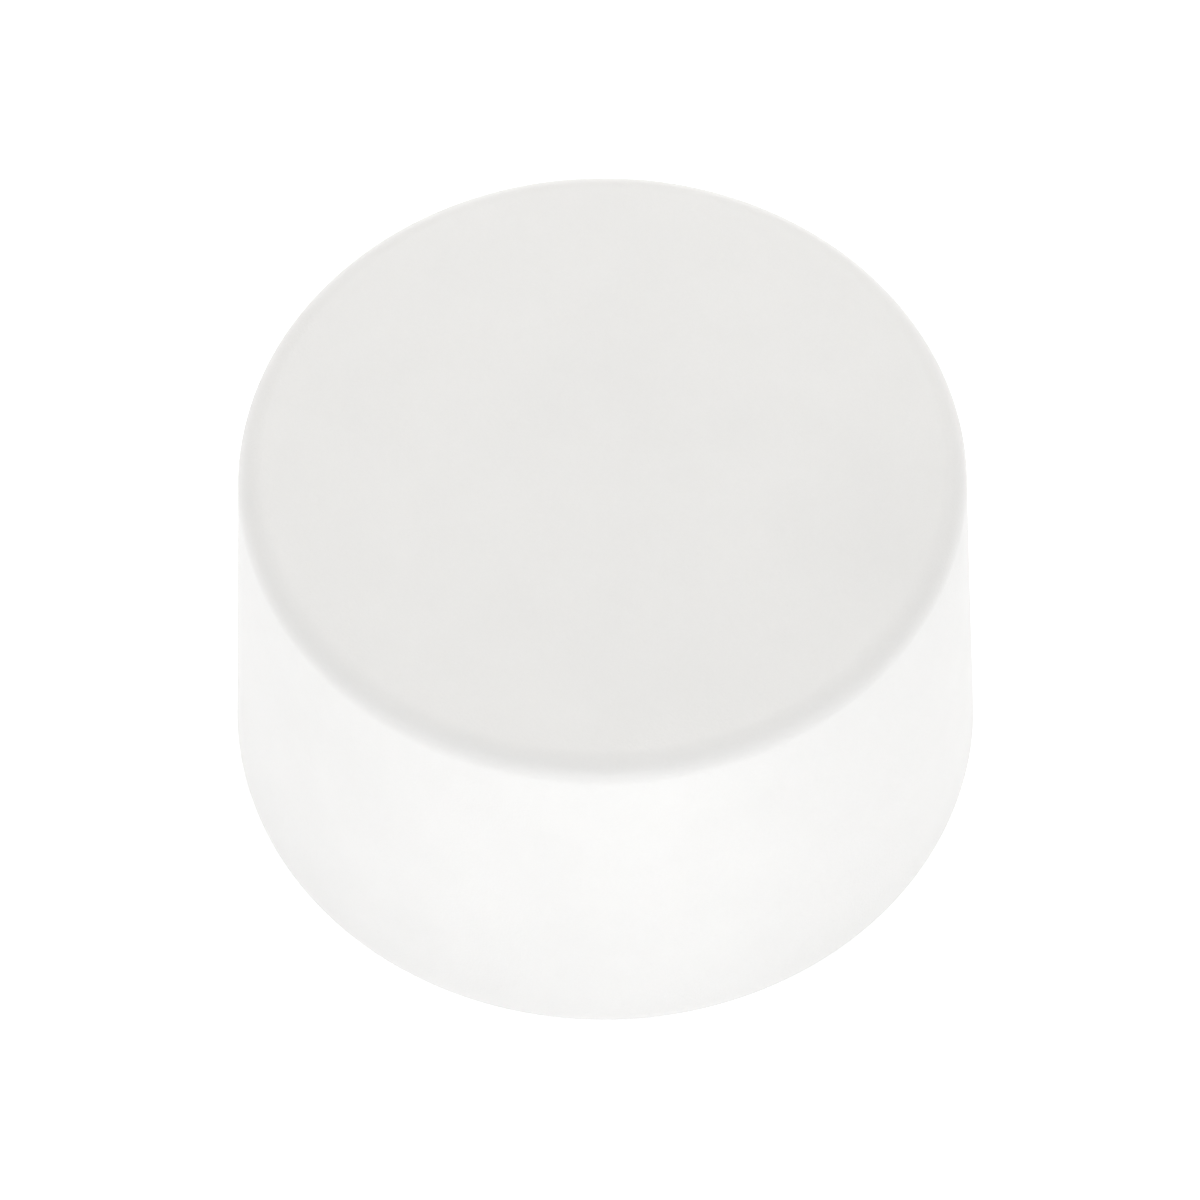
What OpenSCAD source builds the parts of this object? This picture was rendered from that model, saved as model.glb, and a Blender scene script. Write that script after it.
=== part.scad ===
// Weighted dealer button: a moulded white shell, closed underneath by a screwed plate,
// with stamped steel weights held between foam discs inside and a felt pad under it.
// Millimetres. Z is up, and the origin is the centre of the pad's underside.

/* [Body] */
// Diameter of the top face, out to the corner that the edge radius rounds off
top_d = 50; // [44:0.5:60]
// Height of the shell, from its bottom edge to the top face
shell_h = 30.6; // [24:0.1:38]
// Draft of the side wall, which widens towards the base by this angle
draft_deg = 1.7; // [0.5:0.1:3]
// Radius of the edge round the top face
top_edge_r = 1.85; // [0.8:0.05:2.4]
// Bevel on the shell's bottom edge and on the base plate's edge
edge_bevel = 0.3; // [0.1:0.05:0.5]

/* [Shell] */
// Thickness of the side wall
wall_t = 2.4; // [2:0.1:3]
// Thickness of the top
roof_t = 2.5; // [2:0.1:3.5]
// Radius in the corner between the roof and the wall, inside
inner_corner_r = 1; // [0.5:0.1:1.5]
// Width of the ledge in the wall that the base plate stops against
ledge_w = 1; // [0.8:0.1:1.3]
// Thickness of the stiffening ribs
rib_t = 1.4; // [1:0.1:2]
// Outside diameter of the screw bosses
boss_d = 6.4; // [5.6:0.1:7.5]
// Gap between a boss and the side wall, which a rib bridges
boss_gap = 1.2; // [1:0.1:2]
// Outside diameter of the central spigot that the weights slide onto
spigot_d = 8; // [7:0.1:10]
// Bore of the central spigot
spigot_bore_d = 5; // [4.6:0.1:5.5]

/* [Weights] */
// Thickness of one steel plate
plate_t = 3; // [2:0.1:3.6]
// Gap between the weights and the side wall
plate_wall_gap = 1.5; // [1.2:0.1:2.5]
// Gap between the weights and the bosses and spigot that they slide past
plate_slide_gap = 0.35; // [0.2:0.05:0.6]
// Thickness of each foam disc
foam_t = 1.6; // [1:0.1:2.5]
// How far a foam disc's edges stay inside the weights' edges
foam_inset = 0.4; // [0.2:0.1:0.8]

/* [Base plate] */
// Thickness of the plate that closes the mouth
base_t = 2.8; // [2.5:0.1:3.5]
// Gap between the plate's edge and the shell, on the radius
base_gap = 0.1; // [0.05:0.05:0.25]
// Height of the ring on the plate that centres it inside the wall
ring_h = 1.3; // [1:0.1:1.5]
// Thickness of that ring
ring_t = 1; // [0.8:0.1:1.1]
// Gap between that ring and the wall
ring_gap = 0.15; // [0.1:0.05:0.25]
// Height of the peg that enters the spigot's bore
peg_h = 4; // [3:0.5:6]
// Gap between the peg and the bore, on the radius
peg_gap = 0.2; // [0.1:0.05:0.3]
// Gap between the spigot's end and the plate
spigot_end_gap = 0.2; // [0.1:0.05:0.5]

/* [Screws] */
// Diameter over the thread
screw_d = 2.6; // [2.2:0.1:3]
// Diameter of the core between the threads
screw_core_d = 1.9; // [1.6:0.1:2.1]
// Length under the head
screw_l = 8; // [7:0.5:10]
// Pitch of the thread, drawn as separate ridges
screw_pitch = 1; // [0.8:0.1:1.2]
// Width of one ridge at its foot
ridge_w = 0.7; // [0.4:0.1:0.7]
// Length of the tapered tip
tip_l = 1; // [0.5:0.1:1.5]
// Diameter of the tip's blunt end
tip_d = 1; // [0.6:0.1:1.4]
// Diameter of the pan head
head_d = 4.8; // [4.4:0.1:5]
// Height of the pan head
head_h = 1.15; // [1:0.05:1.25]
// Bevel round the pan head's outer face
head_bevel = 0.5; // [0.2:0.1:0.8]
// Length of each slot of the cross recess in the head
recess_l = 2.7; // [2.4:0.1:3]
// Width of each slot of the cross recess
recess_w = 0.7; // [0.5:0.1:0.8]
// Depth of the cross recess
recess_depth = 0.7; // [0.5:0.05:0.8]
// Depth of the counterbore that hides the head
counterbore_depth = 1.3; // [1.3:0.05:1.4]
// Gap round the head in its counterbore, on the radius
head_gap = 0.3; // [0.2:0.05:0.4]
// Gap round the thread in the plate's hole, on the radius
hole_gap = 0.25; // [0.15:0.05:0.4]
// Gap round the thread in the boss, on the radius
pilot_gap = 0.05; // [0.02:0.01:0.1]
// Depth of the hole in each boss
pilot_depth = 8; // [7.5:0.5:10]

/* [Foot pad] */
// Thickness of the felt
pad_t = 1.2; // [1:0.1:1.6]
// Thickness of the adhesive film
film_t = 0.2; // [0.1:0.05:0.3]
// How far the felt stands below the shell's bottom edge
pad_stand = 0.4; // [0.2:0.05:0.8]
// Gap between the felt and the shell's lip
pad_gap = 1.1; // [0.6:0.1:2]
// How far the film's edge stays inside the felt's edge
film_inset = 0.3; // [0.1:0.1:0.6]

/* [Hidden] */
$fn = 96;

plate_count = 3;
boss_count = 3;
rib_count = 2 * boss_count;
first_boss_deg = 90;
fuse = 0.6;      // how far ribs and bosses run into the wall and roof they grow from
past = 1;        // how far a cutting shape runs past the face it opens

// Levels, from the table up
z_edge = pad_stand;
z_base = pad_t + film_t;
z_base_top = z_base + base_t;
z_weights = z_base_top + foam_t;
z_weights_top = z_weights + plate_count * plate_t;
z_ribs = z_weights_top + foam_t;
z_top = z_edge + shell_h;
z_roof = z_top - roof_t;

// Radii, from the outside in
function outer_r(z) = top_d / 2 + (z_top - z) * tan(draft_deg);
function inner_r(z) = outer_r(z) - wall_t;
ledge_r = inner_r(z_base_top) + ledge_w;
base_r = ledge_r - base_gap;
ring_r = inner_r(z_base_top + ring_h) - ring_gap;
boss_circle_r = inner_r(z_roof) - boss_gap - boss_d / 2;
plate_r = inner_r(z_weights_top) - plate_wall_gap;
pad_r = ledge_r - pad_gap;

function boss_deg(i) = first_boss_deg + i * 360 / boss_count;

module at_bosses() {
    for (i = [0 : boss_count - 1])
        rotate([0, 0, boss_deg(i)])
            translate([boss_circle_r, 0, 0])
                children();
}

// Half of a drafted cup's outline: the wall line meets the top at corner_r, and an arc rounds that corner off
module cup_outline(corner_r, top, bottom, edge_r) {
    arc_x = corner_r + edge_r * (tan(draft_deg) - 1 / cos(draft_deg));
    arc_z = top - edge_r;
    polygon([
        [0, bottom],
        [corner_r + (top - bottom) * tan(draft_deg), bottom],
        [arc_x + edge_r * cos(draft_deg), arc_z + edge_r * sin(draft_deg)],
        [arc_x, arc_z],
        [arc_x, top],
        [0, top]
    ]);
    intersection() {
        translate([arc_x, arc_z])
            circle(edge_r);
        polygon([
            [arc_x, arc_z],
            [arc_x, top + past],
            [arc_x + 2 * edge_r, top + past],
            [arc_x + 2 * edge_r, arc_z + 2 * edge_r * tan(draft_deg)]
        ]);
    }
}

// The wall and roof, cut out underneath for the weights and, wider, for the base plate
module shell_outline() {
    difference() {
        cup_outline(top_d / 2, z_top, z_edge, top_edge_r);
        cup_outline(inner_r(z_roof), z_roof, z_edge - past, inner_corner_r);
        translate([0, z_edge - past])
            square([ledge_r, z_base_top - z_edge + past]);
        polygon([
            [outer_r(z_edge) - edge_bevel, z_edge - past],
            [outer_r(z_edge) - edge_bevel, z_edge],
            [outer_r(z_edge) + past, z_edge + edge_bevel + past],
            [outer_r(z_edge) + past, z_edge - past]
        ]);
    }
}

module shell() {
    color([0.93, 0.93, 0.92])
    difference() {
        union() {
            rotate_extrude()
                shell_outline();
            for (i = [0 : rib_count - 1])
                rotate([0, 0, first_boss_deg + i * 360 / rib_count])
                    translate([spigot_d / 2 - fuse, -rib_t / 2, z_ribs])
                        cube([inner_r(z_roof) - spigot_d / 2 + 2 * fuse, rib_t, z_roof - z_ribs + fuse]);
            translate([0, 0, z_base_top + spigot_end_gap])
                cylinder(h = z_roof - z_base_top - spigot_end_gap + fuse, d = spigot_d);
            at_bosses()
                translate([0, 0, z_base_top])
                    cylinder(h = z_roof - z_base_top + fuse, d = boss_d);
        }
        translate([0, 0, z_base_top])
            cylinder(h = z_roof - z_base_top, d = spigot_bore_d);
        at_bosses()
            translate([0, 0, z_base_top - past])
                cylinder(h = pilot_depth + past, d = screw_d + 2 * pilot_gap);
    }
}

// A disc with a central hole and a notch in its edge for each boss
module notched_disc(r, hole_r, notch_r, thickness) {
    linear_extrude(thickness)
        difference() {
            circle(r);
            circle(hole_r);
            for (i = [0 : boss_count - 1])
                rotate(boss_deg(i))
                    translate([boss_circle_r, 0]) {
                        circle(notch_r);
                        translate([0, -notch_r])
                            square([r, 2 * notch_r]);
                    }
        }
}

module weight_plate(number) {
    color([0.66, 0.67, 0.69])
    translate([0, 0, z_weights + (number - 1) * plate_t])
        notched_disc(plate_r, spigot_d / 2 + plate_slide_gap, boss_d / 2 + plate_slide_gap, plate_t);
}

module damper(z) {
    color([0.16, 0.16, 0.17])
    translate([0, 0, z])
        notched_disc(
            plate_r - foam_inset,
            spigot_d / 2 + plate_slide_gap + foam_inset,
            boss_d / 2 + plate_slide_gap + foam_inset,
            foam_t
        );
}

// The plate's outline: bevelled disc, centring ring and central peg
module base_outline() {
    peg_r = spigot_bore_d / 2 - peg_gap;
    polygon([
        [0, z_base],
        [base_r - edge_bevel, z_base],
        [base_r, z_base + edge_bevel],
        [base_r, z_base_top],
        [ring_r, z_base_top],
        [ring_r, z_base_top + ring_h],
        [ring_r - ring_t, z_base_top + ring_h],
        [ring_r - ring_t, z_base_top],
        [peg_r, z_base_top],
        [peg_r, z_base_top + peg_h - edge_bevel],
        [peg_r - edge_bevel, z_base_top + peg_h],
        [0, z_base_top + peg_h]
    ]);
}

module base_plate() {
    color([0.92, 0.92, 0.91])
    difference() {
        rotate_extrude()
            base_outline();
        at_bosses() {
            translate([0, 0, z_base - past])
                cylinder(h = base_t + 2 * past, d = screw_d + 2 * hole_gap);
            translate([0, 0, z_base - past])
                cylinder(h = counterbore_depth + past, d = head_d + 2 * head_gap);
        }
    }
}

// One screw, head down, with its head's flat seat at z = 0 and its tip up
module screw() {
    ridge_count = floor((screw_l - tip_l) / screw_pitch - 0.5);
    difference() {
        rotate_extrude()
            polygon([
                [0, -head_h],
                [head_d / 2 - head_bevel, -head_h],
                [head_d / 2, -head_h + head_bevel],
                [head_d / 2, 0],
                [screw_core_d / 2, 0],
                for (i = [1 : ridge_count]) each [
                    [screw_core_d / 2, i * screw_pitch - ridge_w / 2],
                    [screw_d / 2, i * screw_pitch],
                    [screw_core_d / 2, i * screw_pitch + ridge_w / 2]
                ],
                [screw_core_d / 2, screw_l - tip_l],
                [tip_d / 2, screw_l],
                [0, screw_l]
            ]);
        for (turn = [0, 90])
            rotate([0, 0, turn])
                translate([-recess_l / 2, -recess_w / 2, -head_h - past])
                    cube([recess_l, recess_w, recess_depth + past]);
    }
}

module base_screws() {
    color([0.72, 0.72, 0.7])
    at_bosses()
        translate([0, 0, z_base + counterbore_depth])
            screw();
}

module pad_adhesive() {
    color([0.86, 0.82, 0.7])
    translate([0, 0, pad_t])
        cylinder(h = film_t, r = pad_r - film_inset);
}

module foot_pad() {
    color([0.4, 0.4, 0.39])
    cylinder(h = pad_t, r = pad_r);
}

shell();
damper(z_weights_top);  // upper_damper
weight_plate(1);  // weight_plate_1
weight_plate(2);  // weight_plate_2
weight_plate(3);  // weight_plate_3
damper(z_base_top);  // lower_damper
base_plate();
base_screws();
pad_adhesive();
foot_pad();
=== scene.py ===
import math

import bmesh
import bpy
import numpy as np
from mathutils import Matrix, Vector


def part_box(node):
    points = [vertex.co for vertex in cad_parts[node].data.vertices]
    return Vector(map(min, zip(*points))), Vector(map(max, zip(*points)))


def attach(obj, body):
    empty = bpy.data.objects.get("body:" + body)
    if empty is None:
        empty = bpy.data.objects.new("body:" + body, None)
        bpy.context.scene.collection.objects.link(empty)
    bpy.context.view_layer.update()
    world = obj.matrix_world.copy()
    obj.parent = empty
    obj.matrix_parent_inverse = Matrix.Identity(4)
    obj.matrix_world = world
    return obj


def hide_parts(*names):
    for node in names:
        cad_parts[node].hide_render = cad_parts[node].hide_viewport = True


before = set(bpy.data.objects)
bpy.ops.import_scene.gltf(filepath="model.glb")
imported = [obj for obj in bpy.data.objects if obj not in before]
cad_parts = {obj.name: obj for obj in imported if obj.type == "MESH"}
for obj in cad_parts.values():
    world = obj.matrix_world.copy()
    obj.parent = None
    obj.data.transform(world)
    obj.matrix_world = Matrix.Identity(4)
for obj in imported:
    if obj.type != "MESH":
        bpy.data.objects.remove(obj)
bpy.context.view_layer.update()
mm = 0.001
tau = 2 * math.pi
print("frame loaded:", ", ".join(sorted(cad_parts)))


# Surfaces. Each function works out whole arrays of points, and meshFrom puts them into a mesh.

def gridFaces(rows, columns, closeRows, closeColumns):
    # corner numbers of the quads between neighbouring points of a rows x columns grid
    i = np.arange(rows if closeRows else rows - 1)[:, None]
    j = np.arange(columns if closeColumns else columns - 1)[None, :]
    nextI, nextJ = (i + 1) % rows, (j + 1) % columns
    corners = (i * columns + j, i * columns + nextJ, nextI * columns + nextJ, nextI * columns + j)
    return np.stack(np.broadcast_arrays(*corners), -1).reshape(-1, 4)


def meshFrom(name, points, quads, triangles=None):
    # the corner loops go in as one flat array, quads first
    triangles = np.zeros((0, 3), int) if triangles is None else triangles
    mesh = bpy.data.meshes.new(name)
    mesh.vertices.add(len(points))
    mesh.vertices.foreach_set("co", np.asarray(points, float).ravel())
    loops = np.concatenate([quads.ravel(), triangles.ravel()]).astype(np.int32)
    sizes = np.concatenate([np.full(len(quads), 4), np.full(len(triangles), 3)])
    mesh.loops.add(len(loops))
    mesh.loops.foreach_set("vertex_index", loops)
    mesh.polygons.add(len(sizes))
    starts = np.concatenate([[0], np.cumsum(sizes)[:-1]]).astype(np.int32)
    mesh.polygons.foreach_set("loop_start", starts)
    mesh.update(calc_edges=True)
    mesh.validate()
    return mesh


def added(name, surface):
    # surface is the points, the quads and, where there are any, the triangles
    piece = bpy.data.objects.new(name, meshFrom(name, *surface))
    bpy.context.scene.collection.objects.link(piece)
    return piece


def smoothed(piece, sharpAbove=32):
    # smooth shading, apart from edges sharper than so many degrees
    mesh = piece.data
    mesh.polygons.foreach_set("use_smooth", np.ones(len(mesh.polygons), bool))
    mesh.set_sharp_from_angle(angle=math.radians(sharpAbove))
    return piece


def arc(centre, radius, start, stop, steps):
    # points on a circle from one angle to the other, in degrees
    a = np.radians(np.linspace(start, stop, steps + 1))
    return np.stack([centre[0] + radius * np.cos(a), centre[1] + radius * np.sin(a)], -1)


def line(start, stop, steps):
    # evenly spaced points, without the last
    t = np.linspace(0, 1, steps, endpoint=False)[:, None]
    return np.array(start) * (1 - t) + np.array(stop) * t


def turned(profile, around, lift=None):
    # turns a profile round Z: x = r cos a, y = r sin a. Its two ends are on the axis, it runs from the top
    # pole over the outside to the lower pole, and lift gives how far each ring's points are moved
    angle = np.linspace(0, tau, around, endpoint=False)
    r, z = profile[1:-1].T
    x, y = r[:, None] * np.cos(angle), r[:, None] * np.sin(angle)
    rings = np.stack([x, y, np.broadcast_to(z[:, None], x.shape)], -1)
    if lift is not None:
        rings = rings + lift(rings)
    poles = [rings[0].mean(0) * (0, 0, 1), rings[-1].mean(0) * (0, 0, 1)]
    points = np.concatenate([rings.reshape(-1, 3), poles])
    quads = gridFaces(len(r), around, False, True)[:, ::-1]
    j = np.arange(around)
    k, end = (j + 1) % around, (len(r) - 1) * around
    top = np.stack([j, k, np.full(around, len(r) * around)], -1)
    bottom = np.stack([end + k, end + j, np.full(around, len(r) * around + 1)], -1)
    return points, quads, np.concatenate([top, bottom])


def ringed(profile, around):
    # the same for a closed profile that keeps off the axis, such as a washer's section
    angle = np.linspace(0, tau, around, endpoint=False)
    r, z = profile.T
    x, y = r[:, None] * np.cos(angle), r[:, None] * np.sin(angle)
    points = np.stack([x, y, np.broadcast_to(z[:, None], x.shape)], -1).reshape(-1, 3)
    return points, gridFaces(len(r), around, True, True)[:, ::-1]


def moved(surface, degrees=0.0, by=(0, 0, 0)):
    # shifts a surface and then turns it round Z
    a = math.radians(degrees)
    turn = np.array([[math.cos(a), -math.sin(a), 0], [math.sin(a), math.cos(a), 0], [0, 0, 1]])
    return (np.add(surface[0], by) @ turn.T, *surface[1:])


def bar(low, high, highScale=1.0):
    # a box whose upper end is highScale times as long and wide as its lower end
    sides = np.meshgrid((low[0], high[0]), (low[1], high[1]), (low[2], high[2]), indexing="ij")
    corners = np.stack(sides, -1).reshape(-1, 3)
    centre = (corners[0] + corners[-1]) / 2
    upper = corners[:, 2] == high[2]
    corners[upper, :2] = centre[:2] + (corners[upper, :2] - centre[:2]) * highScale
    quads = np.array([[0, 1, 3, 2], [4, 6, 7, 5], [0, 4, 5, 1], [2, 3, 7, 6], [0, 2, 6, 4], [1, 5, 7, 3]])
    return corners, quads


def joined(target, tools, operation="UNION"):
    # one closed surface from several that overlap
    for tool in tools:
        cut = target.modifiers.new("join", "BOOLEAN")
        cut.operation, cut.solver, cut.object = operation, "EXACT", tool
    applied(target)
    for tool in tools:
        bpy.data.objects.remove(tool)
    return target


def applied(piece):
    # turns a piece's modifiers into its mesh
    bpy.context.view_layer.update()
    graph = bpy.context.evaluated_depsgraph_get()
    made = bpy.data.meshes.new_from_object(piece.evaluated_get(graph))
    piece.modifiers.clear()
    piece.data = made
    return piece


def remeshed(piece, size):
    # even small faces all over, ready for lumps
    even = piece.modifiers.new("even", "REMESH")
    even.mode, even.voxel_size = "VOXEL", size
    return applied(piece)


def readPoints(piece):
    # a mesh's corners as one array
    points = np.empty(len(piece.data.vertices) * 3, np.float32)
    piece.data.vertices.foreach_get("co", points)
    return points.reshape(-1, 3).astype(float)


def readNormals(piece):
    normals = np.empty(len(piece.data.vertices) * 3, np.float32)
    piece.data.vertex_normals.foreach_get("vector", normals)
    return normals.reshape(-1, 3).astype(float)


def lumps(points, size, seed):
    # smooth random heights from -1 to 1: random numbers on a cubic lattice, size apart, blended between
    # neighbours by 3 t^2 - 2 t^3; the lattice repeats
    across = 31
    lattice = np.random.default_rng(seed).uniform(-1, 1, (across, across, across))
    cell = np.floor(points / size).astype(int)
    t = points / size - cell
    t = t * t * (3 - 2 * t)
    height = np.zeros(len(points))
    for corner in np.ndindex(2, 2, 2):
        i, j, k = ((cell + corner) % across).T
        height += lattice[i, j, k] * np.prod(np.where(corner, t, 1 - t), axis=-1)
    return height


# Shader maths: a socket that does arithmetic.

class Wire:
    # holds a node tree and one of its output sockets; arithmetic between wires adds Math nodes
    def __init__(self, tree, socket=None):
        self.tree, self.socket = tree, socket

    def node(self, kind, settings=None, sockets=None, out=0):
        made = self.tree.nodes.new(kind)
        for key, value in (settings or {}).items():
            setattr(made, key, value)
        for key, value in (sockets or {}).items():
            if isinstance(value, Wire):
                self.tree.links.new(value.socket, made.inputs[key])
            else:
                made.inputs[key].default_value = value
        return Wire(self.tree, made.outputs[out] if made.outputs else None)

    def math(self, operation, *values):
        return self.node("ShaderNodeMath", {"operation": operation}, dict(enumerate(values)))

    def __add__(self, other):
        return self.math("ADD", self, other)

    def __radd__(self, other):
        return self.math("ADD", other, self)

    def __sub__(self, other):
        return self.math("SUBTRACT", self, other)

    def __rsub__(self, other):
        return self.math("SUBTRACT", other, self)

    def __mul__(self, other):
        return self.math("MULTIPLY", self, other)

    def __rmul__(self, other):
        return self.math("MULTIPLY", other, self)

    def __truediv__(self, other):
        return self.math("DIVIDE", self, other)

    def __rtruediv__(self, other):
        return self.math("DIVIDE", other, self)

    def fraction(self):
        # what is left over past a whole number
        return self.math("FRACT", self)

    def between(self, low, high):
        # 0 at low, 1 at high, smooth in between
        limits = {"Value": self, "From Min": low, "From Max": high}
        return self.node("ShaderNodeMapRange", {"interpolation_type": "SMOOTHSTEP"}, limits)

    def mixed(self, colourA, colourB):
        # colourA where this wire is 0, colourB where it is 1
        return self.node("ShaderNodeMix", {"data_type": "RGBA"}, {0: self, 6: colourA, 7: colourB}, 2)

    def part(self, axis):
        # one coordinate of a place
        return self.node("ShaderNodeSeparateXYZ", {}, {0: self}, "XYZ".index(axis))

    def placed(self, longer=(1, 1, 1), turn=0.0, shift=(0, 0, 0)):
        # makes a pattern longer along each axis, then turns it round Z, then shifts it
        sockets = {"Vector": self, "Location": shift, "Scale": longer}
        sockets["Rotation"] = (0, 0, math.radians(turn))
        return self.node("ShaderNodeMapping", {"vector_type": "TEXTURE"}, sockets)

    def noise(self, size, detail=2.0):
        # size of the pattern, in the unit of this vector
        return self.node("ShaderNodeTexNoise", {}, {"Vector": self, "Scale": 1 / size, "Detail": detail})

    def cells(self, size):
        # distance from the middles of random cells
        return self.node("ShaderNodeTexVoronoi", {}, {"Vector": self, "Scale": 1 / size})

    def distance(self, point):
        # how far this place is from a point
        return self.node("ShaderNodeVectorMath", {"operation": "DISTANCE"}, {0: self, 1: point}, "Value")

    def bumped(self, depth):
        # depth in millimetres for a height of 1
        return self.node("ShaderNodeBump", {}, {"Height": self, "Distance": depth * mm, "Strength": 1.0})


def newMaterial(name):
    # an empty material, and the place on the piece in millimetres
    material = bpy.data.materials.new(name)
    material.use_nodes = True
    material.node_tree.nodes.clear()
    place = Wire(material.node_tree).node("ShaderNodeTexCoord", out="Object")
    return material, place.node("ShaderNodeVectorMath", {"operation": "SCALE"}, {0: place, "Scale": 1 / mm})


def finished(place, **sockets):
    # the shader and the output; socket names as keywords, with _ for a space
    named = {key.replace("_", " "): value for key, value in sockets.items()}
    shader = place.node("ShaderNodeBsdfPrincipled", {}, named)
    place.node("ShaderNodeOutputMaterial", {}, {"Surface": shader})


def shade(colour, factor):
    # the colour made darker or lighter
    return (*(part * factor for part in colour[:3]), 1)


def dressed(piece, material):
    # the piece wears this one material
    piece.data.materials.clear()
    piece.data.materials.append(material)


def settled(piece, node, material):
    # a finished piece: it rides with the object and stands for a CAD node
    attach(piece, "root")
    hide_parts(node)
    dressed(piece, material)
    print(piece.name, "made:", len(piece.data.polygons), "faces")


# Angles are in degrees. The aim is moved from the shell's middle, along the picture's two sides.
camera = {
    "elevation": 56.37, "roll": 0.75, "distance": 1.0, "lens": 431.8,
    "aimRight": -0.27 * mm, "aimUp": -0.75 * mm,
}


def placeCamera(look):
    data = bpy.data.cameras.new("camera")
    data.lens, data.sensor_width = look["lens"], 36
    data.clip_start, data.clip_end = 0.05, 60
    e, roll = math.radians(look["elevation"]), math.radians(look["roll"])
    back = Vector((0, -math.cos(e), math.sin(e)))
    level, up = Vector((1, 0, 0)), Vector((0, math.sin(e), math.cos(e)))
    right = level * math.cos(roll) - up * math.sin(roll)
    tilted = up * math.cos(roll) + level * math.sin(roll)
    low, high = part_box("shell")
    aim = (low + high) / 2 + right * look["aimRight"] + tilted * look["aimUp"]
    axes = Matrix((right, tilted, back)).transposed().to_4x4()
    item = bpy.data.objects.new("camera", data)
    item.matrix_world = Matrix.Translation(aim + back * look["distance"]) @ axes
    bpy.context.scene.collection.objects.link(item)
    bpy.context.scene.camera = item


placeCamera(camera)
bpy.context.scene.view_settings.view_transform = "Standard"
print("camera placed")


# What the pieces share: where the bosses are, and the heights between them.
bossDegrees = (90, 210, 330)
shellLow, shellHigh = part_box("shell")
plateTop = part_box("lower_damper")[0].z
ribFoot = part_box("upper_damper")[1].z

shell = {
    "draft": 1.7, "topEdge": 1.85 * mm, "bottomBevel": 0.3 * mm, "softCorner": 0.08 * mm,
    "wall": 2.4 * mm, "roof": 2.5 * mm, "innerCorner": 1.0 * mm, "ledge": 1.0 * mm,
    "rib": 1.4 * mm, "boss": 6.4 * mm, "bossGap": 1.2 * mm, "pilot": 2.7 * mm, "pilotDepth": 8 * mm,
    "spigot": 8 * mm, "spigotBore": 5 * mm, "spigotEndGap": 0.2 * mm, "fuse": 0.6 * mm,
    "dish": 0.03 * mm, "waviness": 0.012 * mm, "waveLength": (14 * mm, 30 * mm), "around": 320,
}
slope = math.tan(math.radians(shell["draft"]))
bevelTop = shellLow.z + shell["bottomBevel"] / (1 + slope)
topRadius = shellHigh.x - (shellHigh.z - bevelTop) * slope
roofZ = shellHigh.z - shell["roof"]


def outerRadius(z):
    # the side wall is a cone that widens by slope for each unit down
    return topRadius + (shellHigh.z - z) * slope


def innerRadius(z):
    # the wall's inside runs parallel to it
    return outerRadius(z) - shell["wall"]


bossCircle = innerRadius(roofZ) - shell["bossGap"] - shell["boss"] / 2


def shellProfile(s):
    # half of the cup's section, from the middle of the top over the outside to the middle of the roof; each
    # corner of the foot is broken by a point a little inside it
    top, foot, soft = shellHigh.z, shellLow.z, s["softCorner"]
    nearPole = 0.4 * mm
    slant = 1 / math.cos(math.radians(s["draft"]))
    edgeCentre = (topRadius + s["topEdge"] * (slope - slant), top - s["topEdge"])
    roofCentre = (innerRadius(roofZ) + s["innerCorner"] * (slope - slant), roofZ - s["innerCorner"])
    ledgeRadius = innerRadius(plateTop) + s["ledge"]
    bevelFoot = outerRadius(foot) - s["bottomBevel"]
    rounded = arc(edgeCentre, s["topEdge"], 90, s["draft"], 28)
    wallFoot = (outerRadius(bevelTop + soft), bevelTop + soft)
    inside = arc(roofCentre, s["innerCorner"], s["draft"], 90, 8)
    return np.concatenate([
        [(0, top)],
        line((nearPole, top), rounded[0], 36),
        rounded,
        line(rounded[-1], wallFoot, 30)[1:],
        [wallFoot, (outerRadius(bevelTop) - 0.3 * soft, bevelTop - 0.3 * soft)],
        line((outerRadius(bevelTop) - soft, bevelTop - soft), (bevelFoot + soft, foot + soft), 2),
        [(bevelFoot + 0.3 * soft, foot + 0.3 * soft), (bevelFoot - soft, foot)],
        line((bevelFoot - 2 * soft, foot), (ledgeRadius + 2 * soft, foot), 4),
        arc((ledgeRadius + soft, foot + soft), soft, 270, 180, 3),
        line((ledgeRadius, foot + 2 * soft), (ledgeRadius, plateTop), 6),
        line((ledgeRadius, plateTop), (innerRadius(plateTop), plateTop), 2),
        line((innerRadius(plateTop), plateTop), inside[0], 18),
        inside,
        line(inside[-1], (nearPole, roofZ), 12)[1:],
        [(nearPole, roofZ), (0, roofZ)],
    ])


def shellLift(s):
    # the face sinks by dish (1 - (r / R)^2)^2, and long low waves run over the outside, a mean of a few sines
    rng = np.random.default_rng(11)
    count = 5
    direction = rng.normal(size=(count, 3))
    direction /= np.linalg.norm(direction, axis=1)[:, None]
    length = rng.uniform(*s["waveLength"], count)
    phase = rng.uniform(0, tau, count)

    def lift(points):
        z = points[..., 2]
        r = np.hypot(points[..., 0], points[..., 1])
        waves = np.sin(points @ (direction / length[:, None]).T * tau + phase).mean(-1) - 1
        face = (z > shellHigh.z - 0.01 * mm) * np.clip(1 - (r / topRadius) ** 2, 0, 1)
        fromEnds = np.minimum(z - shellLow.z - 1 * mm, shellHigh.z - 2 * s["topEdge"] - z)
        wall = (r > topRadius - 0.2 * mm) * np.clip(fromEnds / (3 * mm), 0, 1)
        by = np.zeros_like(points)
        by[..., 2] = face * (s["waviness"] * waves - s["dish"] * face)
        by[..., :2] = points[..., :2] * (wall * s["waviness"] * waves / np.maximum(r, mm))[..., None]
        return by
    return lift


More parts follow.
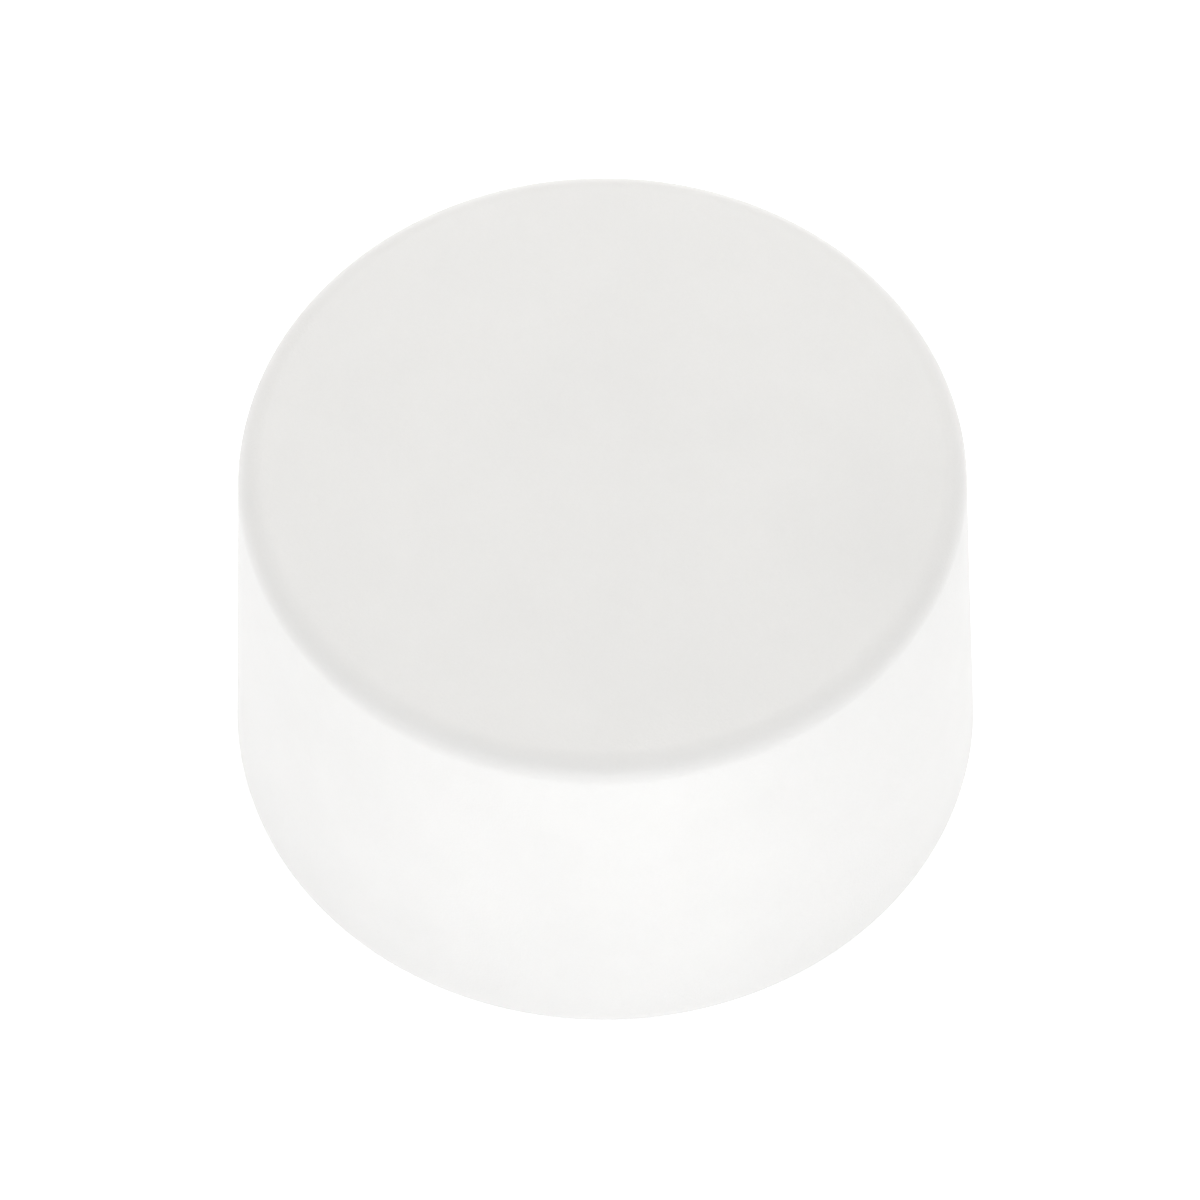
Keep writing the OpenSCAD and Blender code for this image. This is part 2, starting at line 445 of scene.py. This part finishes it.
def tubeProfile(outer, bore, top, foot, boreTop):
    # a post with a blind hole up from its foot; both corners of the foot are broken by a small bevel
    cut = 0.15 * mm
    return np.array([
        (0, top), (outer, top), (outer, foot + cut), (outer - cut, foot), (bore + cut, foot),
        (bore, foot + cut), (bore, boreTop), (0, boreTop),
    ])


def makeShell(s):
    # the cup, with its ribs, spigot and screw bosses grown into the roof and wall
    cup = added("shellBody", turned(shellProfile(s), s["around"], shellLift(s)))
    low = (s["spigot"] / 2 - s["fuse"], -s["rib"] / 2, ribFoot)
    high = (innerRadius(roofZ) + s["fuse"], s["rib"] / 2, roofZ + s["fuse"])
    tools = [added("rib", moved(bar(low, high), 90 + 60 * i)) for i in range(6)]
    postTop = roofZ + s["fuse"]
    spigotFoot = plateTop + s["spigotEndGap"]
    spigot = tubeProfile(s["spigot"] / 2, s["spigotBore"] / 2, postTop, spigotFoot, roofZ - 0.05 * mm)
    tools.append(added("spigot", turned(spigot, 64)))
    boss = tubeProfile(s["boss"] / 2, s["pilot"] / 2, postTop, plateTop, plateTop + s["pilotDepth"])
    for degrees in bossDegrees:
        tools.append(added("boss", moved(turned(boss, 48), degrees, (bossCircle, 0, 0))))
    return smoothed(joined(cup, tools))


# In the dictionaries of looks, the sizes, places and depths of patterns are in millimetres.
shellPlastic = {
    "colour": (0.806, 0.796, 0.777, 1), "roughness": 0.46, "soft": 0.12,
    "mottle": 0.066, "cloudSize": 17, "patchSize": 5, "grain": 0.018, "grainSize": 0.16,
    # the darker spot on the shell's top is painted shade
    "shadeAndSmudge": (21, -6, 31), "shadeAndSmudgeReach": 12, "shadeAndSmudgeDepth": 0.4,
}
basePlastic = {
    "colour": (0.76, 0.755, 0.74, 1), "roughness": 0.6, "soft": 0.08,
    "mottle": 0.06, "cloudSize": 17, "patchSize": 5, "grain": 0.02, "grainSize": 0.3,
    "shadeAndSmudge": (-8, 10, 1), "shadeAndSmudgeReach": 9, "shadeAndSmudgeDepth": 0.2,
}


def mouldedPlastic(name, p):
    # slow cloudy changes of shade, one faint darker spot that is painted shade on the shell's top and a
    # handled smudge on the base plate, and the fine even grain that the mould leaves
    material, place = newMaterial(name)
    cloud = place.noise(p["cloudSize"])
    patch = place.noise(p["patchSize"], 3.0)
    grain = place.noise(p["grainSize"])
    speck = place.noise(2.5 * p["grainSize"], 1.0)
    # a soft darker spot round one point: painted shade on the shell, a smudge on the base plate
    shadeAndSmudge = 1 - place.distance(p["shadeAndSmudge"]).between(0, p["shadeAndSmudgeReach"])
    tone = (cloud - 0.5) + 0.6 * (patch - 0.5) + 0.4 * (grain - 0.5) - p["shadeAndSmudgeDepth"] * shadeAndSmudge
    low, high = shade(p["colour"], 1 - p["mottle"]), shade(p["colour"], 1 + p["mottle"])
    rough = p["roughness"] + 0.08 * (cloud - 0.5) + 0.1 * (speck - 0.5)
    finished(place, Base_Color=(0.5 + 0.5 * tone).mixed(low, high), Roughness=rough, IOR=1.5,
             Normal=(grain + 0.5 * speck).bumped(p["grain"]), Subsurface_Weight=p["soft"],
             Subsurface_Radius=(1.0, 0.95, 0.9), Subsurface_Scale=1.2 * mm)
    return material


settled(makeShell(shell), "shell", mouldedPlastic("shellPlastic", shellPlastic))
dressed(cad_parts["base_plate"], mouldedPlastic("basePlastic", basePlastic))


weights = {
    "dieRoll": 0.35 * mm, "burrEdge": 0.06 * mm, "slideGap": 0.35 * mm, "around": 240,
    "colour": (0.60, 0.61, 0.63, 1), "warm": (0.62, 0.60, 0.55, 1), "cut": (0.42, 0.41, 0.40, 1),
    "roughness": 0.34, "cutRoughness": 0.6, "rolledLine": 0.12, "lineLength": 16, "cloudSize": 6,
    "scratchTurn": 37, "cutFrom": 0.05, "cutTo": 0.56, "relief": 0.012,
}
foam = {
    "edge": 0.22 * mm, "inset": 0.4 * mm, "around": 240, "voxel": 0.3 * mm,
    "lumpSize": 0.9 * mm, "lumpDepth": 0.045 * mm, "cellSize": 0.35, "cellDepth": 0.07,
    "colour": (0.030, 0.030, 0.033, 1), "light": (0.075, 0.075, 0.080, 1),
}


def washer(hole, outer, low, high, upperEdge, lowerEdge):
    # the closed section of a flat ring whose upper and lower edges are rounded
    step = 1 * mm
    return np.concatenate([
        arc((outer - upperEdge, high - upperEdge), upperEdge, 90, 0, 6),
        arc((outer - lowerEdge, low + lowerEdge), lowerEdge, 0, -90, 4),
        line((outer - lowerEdge - step, low), (hole + lowerEdge + step, low), 12),
        arc((hole + lowerEdge, low + lowerEdge), lowerEdge, 270, 180, 4),
        arc((hole + upperEdge, high - upperEdge), upperEdge, 180, 90, 6),
        line((hole + upperEdge + step, high), (outer - upperEdge - step, high), 12),
    ])


def notch(radius, reach, low, high, upperEdge, lowerEdge):
    # a slot that opens outwards: a half circle and two straight sides, each level of it wider near the two
    # faces by e - sqrt(e^2 - d^2), which leaves the disc's edges round
    def widths(edge):
        turn = np.radians(np.linspace(0, 90, 6))
        return edge * (1 - np.cos(turn)), edge * np.sin(turn)
    lowerWide, lowerStep = widths(lowerEdge)
    upperWide, upperStep = widths(upperEdge)
    past, around = 1 * mm, 33
    curve = (low + lowerEdge - lowerStep[::-1], high - upperEdge + upperStep)
    z = np.concatenate([[low - past], *curve, [high + past]])
    wider = np.concatenate([[lowerEdge], lowerWide[::-1], upperWide, [upperEdge]])
    angle = np.radians(np.linspace(90, 270, around))
    x = np.concatenate([np.cos(angle), [0, 0]])
    y = np.concatenate([np.sin(angle), [-1, 1]])
    out = np.concatenate([np.zeros(around), [reach, reach]])
    r = (radius + wider)[:, None]
    points = np.stack([x * r + out, y * r, np.broadcast_to(z[:, None], (len(z), len(x)))], -1)
    rows, columns = points.shape[:2]
    ends = [points[0].mean(0), points[-1].mean(0)]
    j = np.arange(columns)
    k, last = (j + 1) % columns, (rows - 1) * columns
    caps = [np.stack([k, j, np.full(columns, rows * columns)], -1),
            np.stack([last + j, last + k, np.full(columns, rows * columns + 1)], -1)]
    quads = gridFaces(rows, columns, False, True)
    return np.concatenate([points.reshape(-1, 3), ends]), quads, np.concatenate(caps)


def notchedDisc(name, node, inset, upperEdge, lowerEdge, around):
    # a disc that slides past the spigot and the three bosses; no notch lies on the X axis, so the node's
    # box gives the disc's radius there
    low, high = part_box(node)
    gap = weights["slideGap"] + inset
    ring = washer(shell["spigot"] / 2 + gap, high.x, low.z, high.z, upperEdge, lowerEdge)
    pastEdge = high.x / 2
    cutter = notch(shell["boss"] / 2 + gap, pastEdge, low.z, high.z, upperEdge, lowerEdge)
    cutters = [added("notch", moved(cutter, degrees, (bossCircle, 0, 0))) for degrees in bossDegrees]
    return joined(added(name, ringed(ring, around)), cutters, "DIFFERENCE")


def zincedSteel(w):
    # rolled sheet with a pale zinc coat: fine lines along X, cloudy shade, and a rough broken band on the
    # cut edge under the smooth part that the punch left
    material, place = newMaterial("zincedSteel")
    lines = place.placed((w["lineLength"], 1, 1)).noise(w["rolledLine"], 3.0)
    cloud = place.noise(w["cloudSize"], 3.0)
    scratch = place.placed((25, 1, 25), w["scratchTurn"]).noise(0.5, 1.0).between(0.70, 0.74)
    low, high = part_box("weight_plate_1")
    height = ((place.part("Z") - low.z / mm) / ((high.z - low.z) / mm)).fraction()
    aboveBurr = height.between(w["cutFrom"] - 0.02, w["cutFrom"] + 0.01)
    broken = aboveBurr * (1 - height.between(w["cutTo"] - 0.06, w["cutTo"] + 0.06))
    tear = place.placed((1, 1, 5)).noise(0.25, 3.0)
    colour = broken.mixed(cloud.between(0.3, 0.7).mixed(w["colour"], w["warm"]), w["cut"])
    rough = w["roughness"] + 0.12 * (cloud - 0.5) + 0.15 * (lines - 0.5) - 0.08 * scratch
    relief = lines * 0.3 + broken * tear * 3 - scratch * 0.6
    finished(place, Base_Color=colour, Metallic=1.0, Normal=relief.bumped(w["relief"]),
             Roughness=rough + broken * (w["cutRoughness"] - w["roughness"]))
    return material


def cellFoam(f):
    # closed cells cut open: small round pits of many sizes; the colour is painted darker down in the pits and
    # paler on their rims, as shade in the hollows
    material, place = newMaterial("cellFoam")
    wide, fine = place.cells(f["cellSize"]), place.cells(0.45 * f["cellSize"])
    cloud = place.noise(3, 3.0)
    pits = wide.between(0.05, 0.55) + 0.5 * fine.between(0.05, 0.5)
    # painted shade: the colour darkens towards the middle of each pit
    colour = (0.55 * pits + 0.35 * (cloud - 0.5)).between(0.1, 1.0).mixed(f["colour"], f["light"])
    finished(place, Base_Color=colour, Roughness=0.82 + 0.15 * (cloud - 0.5), IOR=1.45,
             Normal=pits.bumped(f["cellDepth"]))
    return material


def makeFoam(name, node, seed):
    # the die presses the edges round, and the cut faces are lumpy; lumps only sink, so nothing is touched
    piece = notchedDisc(name, node, foam["inset"], foam["edge"], foam["edge"], foam["around"])
    remeshed(piece, foam["voxel"])
    points, normals = readPoints(piece), readNormals(piece)
    large, small = lumps(points, foam["lumpSize"], seed), lumps(points, foam["lumpSize"] / 2.6, seed + 1)
    sink = (1 - 0.6 * large - 0.4 * small) / 2 * foam["lumpDepth"]
    points = points - normals * sink[:, None]
    piece.data.vertices.foreach_set("co", points.astype(np.float32).ravel())
    piece.data.update()
    return smoothed(piece, 60)


steelLook = zincedSteel(weights)
for number in (1, 2, 3):
    name, node = f"weightPlate{number}", f"weight_plate_{number}"
    disc = notchedDisc(name, node, 0, weights["dieRoll"], weights["burrEdge"], weights["around"])
    settled(smoothed(disc, 25), node, steelLook)

foamLook = cellFoam(foam)
for name, node, seed in (("lowerFoam", "lower_damper", 3), ("upperFoam", "upper_damper", 8)):
    disc = makeFoam(name, node, seed)
    settled(disc, node, foamLook)


screws = {
    "major": 1.3 * mm, "core": 0.95 * mm, "pitch": 1.0 * mm, "ridge": 0.7 * mm, "crest": 0.1 * mm,
    "tip": 1.0 * mm, "tipRadius": 0.5 * mm, "head": 2.4 * mm, "headHeight": 1.15 * mm, "crown": 0.5 * mm,
    "neck": 0.15 * mm, "rim": 0.06 * mm, "plainShank": 0.4 * mm, "fadeIn": 0.5 * mm,
    "recess": 2.7 * mm, "recessWidth": 0.7 * mm, "recessDepth": 0.7 * mm, "recessTaper": 0.62, "around": 48,
    "twists": (12, 71, 38), "colour": (0.55, 0.545, 0.52, 1), "tint": (0.60, 0.56, 0.44, 1),
    "roughness": 0.28, "cloudSize": 1.6, "markSize": 0.12, "markDepth": 0.008,
}


def screwProfile(s, seat, length):
    # from the tip down the shank to the pan head, its underside flat on the seat
    foot = seat - s["headHeight"]
    return np.concatenate([
        [(0, seat + length)],
        line((s["tipRadius"], seat + length), (s["core"], seat + length - s["tip"]), 12),
        line((s["core"], seat + length - s["tip"]), (s["core"], seat + s["neck"]), 88),
        arc((s["core"] + s["neck"], seat + s["neck"]), s["neck"], 180, 270, 3),
        [(s["head"] - s["rim"], seat), (s["head"], seat - s["rim"])],
        arc((s["head"] - s["crown"], foot + s["crown"]), s["crown"], 0, -90, 7),
        [(0.3 * mm, foot), (0, foot)],
    ])


def threadLift(s, seat, length):
    # a right-hand thread: the crest is where z / pitch - a / 2 pi is a whole number, and the flanks fall
    # straight from it to the core; it fades out under the head and on the tip
    def lift(points):
        z = points[..., 2]
        r = np.hypot(points[..., 0], points[..., 1])
        a = np.arctan2(points[..., 1], points[..., 0])
        turns = (z - seat) / s["pitch"] - a / tau
        away = np.abs(turns - np.round(turns)) * s["pitch"]
        ridge = np.clip((s["ridge"] / 2 - away) / (s["ridge"] / 2 - s["crest"] / 2), 0, 1)
        fade = np.clip((z - seat - s["plainShank"]) / s["fadeIn"], 0, 1)
        fade = fade * np.clip((seat + length - z) / s["tip"], 0, 1)
        onShank = r < s["core"] + 0.01 * mm
        grow = onShank * (s["major"] - s["core"]) * ridge * fade
        by = np.zeros_like(points)
        by[..., :2] = points[..., :2] * (grow / np.maximum(r, 0.1 * mm))[..., None]
        return by
    return lift


def makeScrew(s, seat, length, degrees, twist):
    # the recess is cut by two tapered bars before the screw is put in place
    one = added("screw", turned(screwProfile(s, seat, length), s["around"], threadLift(s, seat, length)))
    foot = seat - s["headHeight"]
    past = 0.2 * mm
    low = (-s["recess"] / 2, -s["recessWidth"] / 2, foot - past)
    high = (s["recess"] / 2, s["recessWidth"] / 2, foot + s["recessDepth"])
    bars = [added("bar", moved(bar(low, high, s["recessTaper"]), turn)) for turn in (0, 90)]
    joined(one, bars, "DIFFERENCE")
    a, b = math.radians(twist), math.radians(degrees)
    shift = Matrix.Translation((bossCircle * math.cos(b), bossCircle * math.sin(b), 0))
    one.data.transform(shift @ Matrix.Rotation(a, 4, "Z"))
    return one


def makeScrews(s):
    # three in one piece, each one stopped at its own turn
    low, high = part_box("base_screws")
    seat = low.z + s["headHeight"]
    together = bmesh.new()
    for degrees, twist in zip(bossDegrees, s["twists"]):
        one = makeScrew(s, seat, high.z - seat, degrees, twist)
        together.from_mesh(one.data)
        bpy.data.objects.remove(one)
    mesh = bpy.data.meshes.new("baseScrews")
    together.to_mesh(mesh)
    together.free()
    piece = bpy.data.objects.new("baseScrews", mesh)
    bpy.context.scene.collection.objects.link(piece)
    return smoothed(piece, 28)


def platedSteel(s):
    # bright plating with faint yellow clouds and the fine marks that tumbling leaves
    material, place = newMaterial("platedSteel")
    cloud, marks = place.noise(s["cloudSize"], 3.0), place.noise(s["markSize"], 3.0)
    rough = s["roughness"] + 0.2 * (cloud - 0.5) + 0.15 * (marks - 0.5)
    finished(place, Base_Color=cloud.between(0.35, 0.7).mixed(s["colour"], s["tint"]), Metallic=1.0,
             Roughness=rough, Normal=marks.bumped(s["markDepth"]))
    return material


settled(makeScrews(screws), "base_screws", platedSteel(screws))

film = {
    "colour": (0.72, 0.66, 0.50, 1), "pale": (0.82, 0.78, 0.66, 1), "roughness": 0.24,
    "cloudSize": 4, "waveSize": 1.2, "bubbleGap": 1.7, "relief": 0.03,
}


def gluedFilm(f):
    # a thin film of adhesive: clouds of shade, a wavy gloss, and a few small bubbles
    material, place = newMaterial("gluedFilm")
    cloud, wave = place.noise(f["cloudSize"], 3.0), place.noise(f["waveSize"])
    bubble = 1 - place.cells(f["bubbleGap"]).between(0.08, 0.16)
    finished(place, Base_Color=(cloud + 0.3 * bubble).between(0.3, 0.8).mixed(f["colour"], f["pale"]),
             Roughness=f["roughness"] + 0.3 * (wave - 0.5) + 0.2 * bubble,
             Normal=(wave + 0.5 * bubble).bumped(f["relief"]), IOR=1.47)
    return material


dressed(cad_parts["pad_adhesive"], gluedFilm(film))


felt = {
    "edge": 0.16 * mm, "voxel": 0.33 * mm, "lumpSize": 1.3 * mm, "lumpDepth": 0.10 * mm, "wobble": 0.06 * mm,
    "fibres": 3600, "fibreLength": (0.9 * mm, 2.6 * mm), "fibreRadius": 0.022 * mm, "stray": 0.28 * mm,
    "edgeShare": 0.3, "edgeInset": 0.10 * mm, "edgeBand": (0.12 * mm, 0.15 * mm), "edgeLift": 0.15 * mm,
    "underInset": 0.3 * mm, "underDepth": 0.06 * mm,
    "colour": (0.105, 0.105, 0.102, 1), "light": (0.255, 0.255, 0.25, 1),
    "streakWidth": 0.15, "streakLength": 7, "streakTurns": (35, 72, 108, 145),
    "clumpSize": 2.2, "relief": 0.09,
}


def feltDisc(f):
    # the die-cut disc: its edge wanders a little, its underside is lumpy and its top is flat on the glue
    low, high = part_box("foot_pad")
    edge, radius = f["edge"], high.x
    section = np.concatenate([
        [(0, high.z)], arc((radius - edge, high.z - edge), edge, 90, 0, 3),
        arc((radius - edge, low.z + edge), edge, 0, -90, 3), [(0, low.z)],
    ])
    piece = remeshed(added("feltPad", turned(section, 200)), f["voxel"])
    points = readPoints(piece)
    r = np.hypot(points[:, 0], points[:, 1])
    rough = 0.6 * lumps(points, f["lumpSize"], 21) + 0.4 * lumps(points, f["lumpSize"] / 3, 22)
    nearEdge = np.clip((r - (radius - 0.6 * mm)) / (0.5 * mm), 0, 1)
    inward = nearEdge * (1 - rough) / 2 * f["wobble"]
    points[:, :2] *= (1 - inward / np.maximum(r, mm))[:, None]
    underside = np.clip((0.5 * mm - points[:, 2]) / (0.4 * mm), 0, 1)
    points[:, 2] += underside * (1 + rough) / 2 * f["lumpDepth"]
    points[:, 2] = np.clip(points[:, 2], low.z, high.z)
    return piece, points


def fibreTubes(f):
    # loose fibres as thin three-sided tubes: the middle line is start + t L d + bend L (t^2 - t) n, which
    # lies on the underside or curls out of the edge, and the tube thins to its ends
    low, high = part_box("foot_pad")
    rng = np.random.default_rng(5)
    n, radius = f["fibres"], high.x
    rings, sides = 4, 3
    onEdge = rng.random(n) < f["edgeShare"]
    around = rng.uniform(0, tau, n)
    r = np.where(onEdge, radius - f["edgeInset"], (radius - f["underInset"]) * np.sqrt(rng.random(n)))
    edgeLow, edgeHigh = low.z + f["edgeBand"][0], high.z - f["edgeBand"][1]
    z = np.where(onEdge, rng.uniform(edgeLow, edgeHigh, n), low.z + f["underDepth"])
    start = np.stack([r * np.cos(around), r * np.sin(around), z], -1)
    alongEdge = around + np.sign(rng.random(n) - 0.5) * rng.uniform(1.3, 1.55, n)
    heading = np.where(onEdge, alongEdge, rng.uniform(0, tau, n))
    d = np.stack([np.cos(heading), np.sin(heading), np.zeros(n)], -1)
    side = np.stack([-d[:, 1], d[:, 0], np.zeros(n)], -1)
    length = rng.uniform(*f["fibreLength"], n) * np.where(onEdge, 0.55, 1)
    bend = rng.uniform(-0.5, 0.5, n)
    t = np.linspace(0, 1, rings)
    middle = start[:, None] + (length[:, None] * t)[..., None] * d[:, None]
    middle = middle + ((bend * length)[:, None] * (t * t - t))[..., None] * side[:, None]
    reach = np.hypot(middle[..., 0], middle[..., 1])
    limit = radius + f["stray"] * rng.random(n)[:, None]
    middle[..., :2] *= np.minimum(1, limit / np.maximum(reach, mm))[..., None]
    middle[..., 2] += np.where(onEdge, rng.uniform(-1, 1, n) * f["edgeLift"], 0)[:, None] * t
    turn = tau * np.arange(sides) / sides
    thin = f["fibreRadius"] * np.array([0.6, 1, 1, 0.5])
    ring = np.cos(turn)[:, None] * side[:, None, None] + np.sin(turn)[:, None] * np.array([0, 0, 1.0])
    points = middle[:, :, None] + thin[:, None, None] * ring
    points[..., 2] = np.clip(points[..., 2], low.z, high.z)
    shift = (np.arange(n) * rings * sides)[:, None, None]
    last = (rings - 1) * sides
    quads = (gridFaces(rings, sides, False, True)[None] + shift).reshape(-1, 4)
    caps = (np.array([[0, 2, 1], [last, last + 1, last + 2]])[None] + shift).reshape(-1, 3)
    return points.reshape(-1, 3), quads, caps


def makeFeltPad(f):
    # the disc and its fibres in one mesh
    disc, points = feltDisc(f)
    faces = np.empty(len(disc.data.loops), np.int32)
    disc.data.loops.foreach_get("vertex_index", faces)
    fibrePoints, fibreQuads, fibreCaps = fibreTubes(f)
    shift = len(points)
    quads = np.concatenate([faces.reshape(-1, 4), fibreQuads + shift])
    disc.data = meshFrom("feltPad", np.concatenate([points, fibrePoints]), quads, fibreCaps + shift)
    return smoothed(disc, 70)


def greyFelt(f):
    # matted wool: short streaks in many directions, paler and darker, over soft clumps
    material, place = newMaterial("greyFelt")
    longer = (f["streakLength"], 1, 1)
    streak = place.placed(longer).noise(f["streakWidth"])
    for turn in f["streakTurns"]:
        more = place.placed(longer, turn, (turn, 0, 0)).noise(f["streakWidth"])
        streak = streak.math("MAXIMUM", streak, more)
    clump = place.noise(f["clumpSize"], 3.0)
    fleck = place.noise(0.10, 1.0)
    tone = (streak - 0.5) * 2.2 + 0.5 * (clump - 0.5) + 0.6 * (fleck - 0.5)
    finished(place, Base_Color=tone.between(-0.1, 0.75).mixed(f["colour"], f["light"]),
             Roughness=0.92 + 0.1 * (clump - 0.5), Normal=(streak + 0.4 * clump).bumped(f["relief"]),
             Sheen_Weight=0.25, Sheen_Roughness=0.5, IOR=1.4)
    return material


feltPad = makeFeltPad(felt)
settled(feltPad, "foot_pad", greyFelt(felt))


# Places and sizes are in metres. The low lights in front are a little bluer than the rest.
coolWhite = (0.955, 0.972, 1.0)
studio = {
    "floorSize": 24.0, "floorColour": (0.9, 0.9, 0.895, 1), "world": 0.48,
    "nearGlow": (0.405, 0.41, 0.424, 1), "farGlow": (0.6, 0.6, 0.6, 1), "glowReach": (0.5, 2.5),
    "back": {"at": (0.0, 0.42, 0.58), "size": (0.55, 0.35), "watts": 1.75},
    "leftBack": {"at": (-1.0, 0.9, 0.95), "size": (0.8, 0.7), "watts": 1.4},
    "rightBack": {"at": (1.0, 0.9, 0.95), "size": (0.8, 0.7), "watts": 3.1},
    "leftTop": {"at": (-1.0, 0.3, 1.35), "size": (0.7, 0.7), "watts": 1.9},
    "rightTop": {"at": (1.0, 0.3, 1.35), "size": (0.7, 0.7), "watts": 1.0},
    "front": {"at": (0.0, -1.6, 0.2), "size": (0.7, 0.35), "watts": 5.1, "colour": coolWhite},
    "leftFront": {"at": (-1.1, -1.1, 0.35), "size": (0.7, 0.5), "watts": 3.05, "colour": coolWhite},
    "rightFront": {"at": (1.1, -1.1, 0.35), "size": (0.7, 0.5), "watts": 2.95, "colour": coolWhite},
}


def makeFloor(s):
    # a wide pale sheet that also glows, as a light table does, and more so far from the object
    count = 25
    t = np.linspace(-s["floorSize"] / 2, s["floorSize"] / 2, count)
    x, y = np.meshgrid(t, t)
    points = np.stack([x, y, np.zeros_like(x)], -1).reshape(-1, 3)
    floor = added("floor", (points, gridFaces(count, count, False, False)))
    material, place = newMaterial("palePaper")
    starts, full = s["glowReach"]
    glow = place.distance((0, 0, 0)).between(starts / mm, full / mm).mixed(s["nearGlow"], s["farGlow"])
    finished(place, Base_Color=s["floorColour"], Roughness=0.9, Emission_Color=glow, Emission_Strength=1.0,
             Normal=place.noise(0.8, 3.0).bumped(0.01))
    dressed(floor, material)


def placeLight(name, spec):
    # a soft panel that faces the object and doesn't show itself to the camera
    data = bpy.data.lights.new(name, "AREA")
    data.shape, data.energy = "RECTANGLE", spec["watts"]
    data.size, data.size_y = spec["size"]
    data.color = spec.get("colour", (1, 1, 1))
    item = bpy.data.objects.new(name, data)
    item.location = spec["at"]
    item.rotation_euler = (-Vector(spec["at"])).to_track_quat("-Z", "Y").to_euler()
    item.visible_camera = False
    bpy.context.scene.collection.objects.link(item)


def makeWorld(s):
    # even light from all round; what the camera sees past the floor has the shade of the floor's far end
    world = bpy.data.worlds.new("studio")
    world.use_nodes = True
    world.node_tree.nodes.clear()
    seen = Wire(world.node_tree).node("ShaderNodeLightPath", out="Is Camera Ray")
    farShade = s["farGlow"][0] + s["floorColour"][0] * s["world"]
    around = seen.node("ShaderNodeBackground", {}, {"Color": (1, 1, 1, 1), "Strength": s["world"]})
    beyond = seen.node("ShaderNodeBackground", {}, {"Color": (1, 1, 1, 1), "Strength": farShade})
    both = seen.node("ShaderNodeMixShader", {}, {0: seen, 1: around, 2: beyond})
    seen.node("ShaderNodeOutputWorld", {}, {"Surface": both})
    bpy.context.scene.world = world


makeFloor(studio)
makeWorld(studio)
for name, spec in studio.items():
    if isinstance(spec, dict):
        placeLight(name, spec)
print("floor and lights placed")
